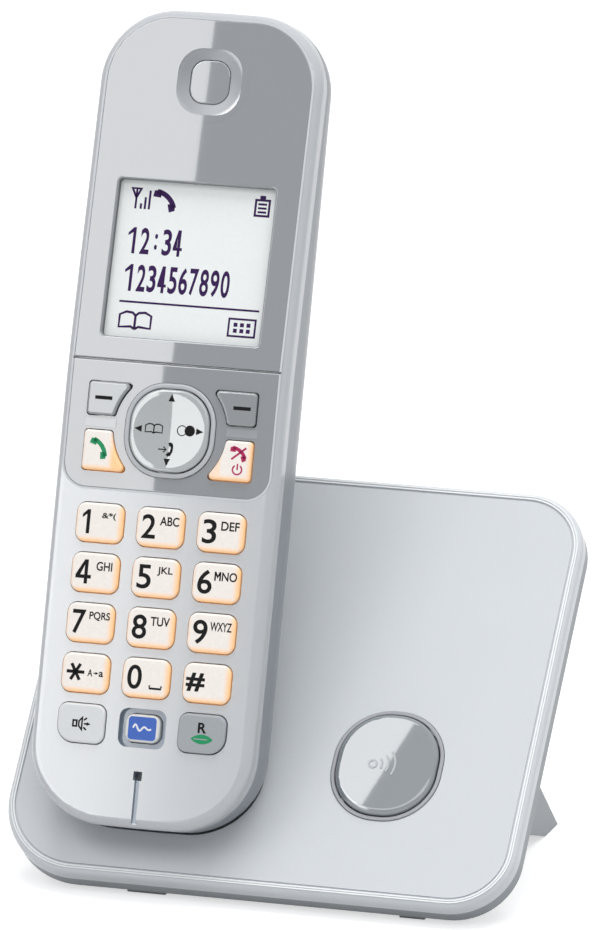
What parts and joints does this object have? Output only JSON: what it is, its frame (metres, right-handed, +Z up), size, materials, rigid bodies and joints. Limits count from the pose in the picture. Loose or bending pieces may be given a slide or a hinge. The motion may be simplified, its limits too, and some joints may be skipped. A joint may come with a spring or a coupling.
{
  "type": "cordless phone with base",
  "caption": "Slim cordless handset with keypad and display, standing upright in a leaning charging base with a page button.",
  "frame": {"origin": "on the floor under the middle of the object's box", "axes": "+Z up, -Y towards the user, +X to the user's right"},
  "size_m": [0.1068, 0.0796, 0.1698],
  "materials": {
    "silver_plastic": "satin silver",
    "rear_plastic": "satin grey",
    "panel_gloss": "polished grey",
    "ivory_key": "satin ivory",
    "grey_key": "polished grey",
    "bright_trim": "bright",
    "display": "clear",
    "board": "lacquered",
    "soft_rubber": "matt",
    "black_plastic": "matt",
    "metal": "plated",
    "cell": "wrapped"
  },
  "bodies": {
    "base": {"base_front_cover": "silver_plastic", "base_rear_case": "rear_plastic", "page_ring": "bright_trim", "page_switch": "black_plastic", "base_board": "board", "base_antenna": "metal", "line_jack": "black_plastic", "power_jack": "black_plastic", "case_screws": "metal", "front_foot_left": "soft_rubber", "front_foot_right": "soft_rubber", "rear_leg_left": "rear_plastic", "rear_leg_right": "rear_plastic"},
    "handset": {"front_housing": "silver_plastic", "rear_housing": "rear_plastic", "display_panel": "panel_gloss", "control_panel": "panel_gloss", "nav_ring": "bright_trim", "earpiece_pad": "grey_key", "earpiece_speaker": "metal", "display_glass": "display", "display_tray": "black_plastic", "main_board": "board", "handset_antenna": "metal", "ringer_speaker": "black_plastic", "keypad_mat": "soft_rubber", "dome_sheet": "metal", "keypad_board": "board", "microphone": "metal", "battery_bay": "black_plastic", "battery_cells": "cell", "battery_contacts": "metal", "charge_terminals": "metal"},
    "key_1": {"key_1": "ivory_key"},
    "key_2": {"key_2": "ivory_key"},
    "key_3": {"key_3": "ivory_key"},
    "key_4": {"key_4": "ivory_key"},
    "key_5": {"key_5": "ivory_key"},
    "key_6": {"key_6": "ivory_key"},
    "key_7": {"key_7": "ivory_key"},
    "key_8": {"key_8": "ivory_key"},
    "key_9": {"key_9": "ivory_key"},
    "key_star": {"key_star": "ivory_key"},
    "key_0": {"key_0": "ivory_key"},
    "key_hash": {"key_hash": "ivory_key"},
    "speaker_key": {"speaker_key": "grey_key"},
    "recall_key": {"recall_key": "grey_key"},
    "centre_key": {"centre_key": "ivory_key"},
    "soft_key_left": {"soft_key_left": "grey_key"},
    "soft_key_right": {"soft_key_right": "grey_key"},
    "talk_key": {"talk_key": "ivory_key"},
    "off_key": {"off_key": "ivory_key"},
    "nav_key": {"nav_key": "grey_key"},
    "battery_cover": {"battery_cover": "rear_plastic"},
    "page_button": {"page_button": "grey_key"},
    "charge_contact_left": {"charge_contact_left": "metal"},
    "charge_contact_right": {"charge_contact_right": "metal"}
  },
  "joints": [
    {"name": "handset_lift", "type": "slide", "parent": "base", "child": "handset", "axis": [0, 0.3074, 0.9516], "range_m": [0, 0.06]},
    {"name": "key_1_press", "type": "slide", "parent": "handset", "child": "key_1", "axis": [0, 0.9516, -0.3074], "range_m": [0, 0.0005], "stiffness_N_per_m": 1500},
    {"name": "key_2_press", "type": "slide", "parent": "handset", "child": "key_2", "axis": [0, 0.9516, -0.3074], "range_m": [0, 0.0005], "stiffness_N_per_m": 1500},
    {"name": "key_3_press", "type": "slide", "parent": "handset", "child": "key_3", "axis": [0, 0.9516, -0.3074], "range_m": [0, 0.0005], "stiffness_N_per_m": 1500},
    {"name": "key_4_press", "type": "slide", "parent": "handset", "child": "key_4", "axis": [0, 0.9516, -0.3074], "range_m": [0, 0.0005], "stiffness_N_per_m": 1500},
    {"name": "key_5_press", "type": "slide", "parent": "handset", "child": "key_5", "axis": [0, 0.9516, -0.3074], "range_m": [0, 0.0005], "stiffness_N_per_m": 1500},
    {"name": "key_6_press", "type": "slide", "parent": "handset", "child": "key_6", "axis": [0, 0.9516, -0.3074], "range_m": [0, 0.0005], "stiffness_N_per_m": 1500},
    {"name": "key_7_press", "type": "slide", "parent": "handset", "child": "key_7", "axis": [0, 0.9516, -0.3074], "range_m": [0, 0.0005], "stiffness_N_per_m": 1500},
    {"name": "key_8_press", "type": "slide", "parent": "handset", "child": "key_8", "axis": [0, 0.9516, -0.3074], "range_m": [0, 0.0005], "stiffness_N_per_m": 1500},
    {"name": "key_9_press", "type": "slide", "parent": "handset", "child": "key_9", "axis": [0, 0.9516, -0.3074], "range_m": [0, 0.0005], "stiffness_N_per_m": 1500},
    {"name": "key_star_press", "type": "slide", "parent": "handset", "child": "key_star", "axis": [0, 0.9516, -0.3074], "range_m": [0, 0.0005], "stiffness_N_per_m": 1500},
    {"name": "key_0_press", "type": "slide", "parent": "handset", "child": "key_0", "axis": [0, 0.9516, -0.3074], "range_m": [0, 0.0005], "stiffness_N_per_m": 1500},
    {"name": "key_hash_press", "type": "slide", "parent": "handset", "child": "key_hash", "axis": [0, 0.9516, -0.3074], "range_m": [0, 0.0005], "stiffness_N_per_m": 1500},
    {"name": "speaker_key_press", "type": "slide", "parent": "handset", "child": "speaker_key", "axis": [0, 0.9516, -0.3074], "range_m": [0, 0.0005], "stiffness_N_per_m": 1500},
    {"name": "recall_key_press", "type": "slide", "parent": "handset", "child": "recall_key", "axis": [0, 0.9516, -0.3074], "range_m": [0, 0.0005], "stiffness_N_per_m": 1500},
    {"name": "centre_key_press", "type": "slide", "parent": "handset", "child": "centre_key", "axis": [0, 0.9516, -0.3074], "range_m": [0, 0.0005], "stiffness_N_per_m": 1500},
    {"name": "soft_key_left_press", "type": "slide", "parent": "handset", "child": "soft_key_left", "axis": [0, 0.9516, -0.3074], "range_m": [0, 0.0005], "stiffness_N_per_m": 1500},
    {"name": "soft_key_right_press", "type": "slide", "parent": "handset", "child": "soft_key_right", "axis": [0, 0.9516, -0.3074], "range_m": [0, 0.0005], "stiffness_N_per_m": 1500},
    {"name": "talk_key_press", "type": "slide", "parent": "handset", "child": "talk_key", "axis": [0, 0.9516, -0.3074], "range_m": [0, 0.0005], "stiffness_N_per_m": 1500},
    {"name": "off_key_press", "type": "slide", "parent": "handset", "child": "off_key", "axis": [0, 0.9516, -0.3074], "range_m": [0, 0.0005], "stiffness_N_per_m": 1500},
    {"name": "nav_key_press", "type": "slide", "parent": "handset", "child": "nav_key", "axis": [0, 0.9516, -0.3074], "range_m": [0, 0.0005], "stiffness_N_per_m": 1500},
    {"name": "battery_cover_slide", "type": "slide", "parent": "handset", "child": "battery_cover", "axis": [0, -0.3074, -0.9516], "range_m": [0, 0.005]},
    {"name": "page_button_press", "type": "slide", "parent": "base", "child": "page_button", "axis": [0, 0.7466, -0.6652], "range_m": [0, 0.0007], "stiffness_N_per_m": 1500},
    {"name": "charge_contact_left_press", "type": "slide", "parent": "base", "child": "charge_contact_left", "axis": [0, -0.3074, -0.9516], "range_m": [0, 0.0008], "stiffness_N_per_m": 600},
    {"name": "charge_contact_right_press", "type": "slide", "parent": "base", "child": "charge_contact_right", "axis": [0, -0.3074, -0.9516], "range_m": [0, 0.0008], "stiffness_N_per_m": 600}
  ]
}
